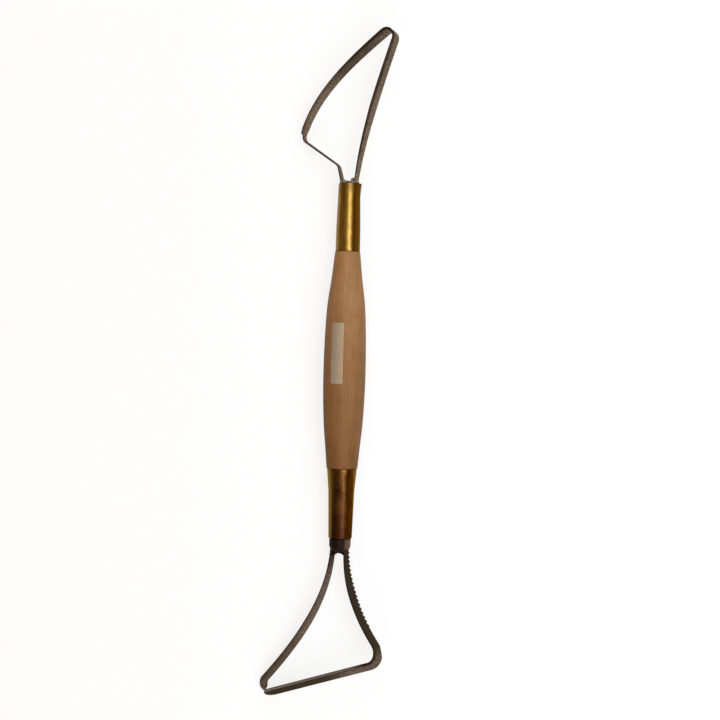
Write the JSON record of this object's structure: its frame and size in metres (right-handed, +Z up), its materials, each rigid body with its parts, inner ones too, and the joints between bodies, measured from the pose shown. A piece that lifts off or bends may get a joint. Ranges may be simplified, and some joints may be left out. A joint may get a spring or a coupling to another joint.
{
  "type": "double-ended loop tool",
  "caption": "Clay carving loop tool: turned wooden handle, tapered brass ferrules, a pointed ribbon loop at one end and a three-sided ribbon loop with a toothed leg at the other.",
  "frame": {"origin": "on the table that the tool lies on, under the middle of its box", "axes": "+Z up, +Y along the handle towards the pointed loop, +X to the right with the pointed loop away from the viewer; the loops are rolled about Y so that the far corner of the three-sided loop touches the table"},
  "size_m": [0.0522, 0.2578, 0.0163],
  "materials": {
    "handle_wood": "turned hardwood, sanded, no varnish",
    "brass_bright": "drawn tube, polished, lightly handled",
    "brass_tarnished": "drawn tube, tarnished brown towards the mouth",
    "ribbon_steel": "hardened steel strip, brown-grey, edges worn bright",
    "filler_grey": "set adhesive",
    "filler_dark": "set adhesive, stained dark",
    "label_paper": "matt paper sticker, bare"
  },
  "bodies": {
    "root": {"handle_barrel": "handle_wood", "upper_ferrule": "brass_bright", "lower_ferrule": "brass_tarnished", "upper_loop": "ribbon_steel", "lower_loop": "ribbon_steel", "upper_filler": "filler_grey", "lower_filler": "filler_dark", "paper_label": "label_paper"}
  },
  "joints": []
}
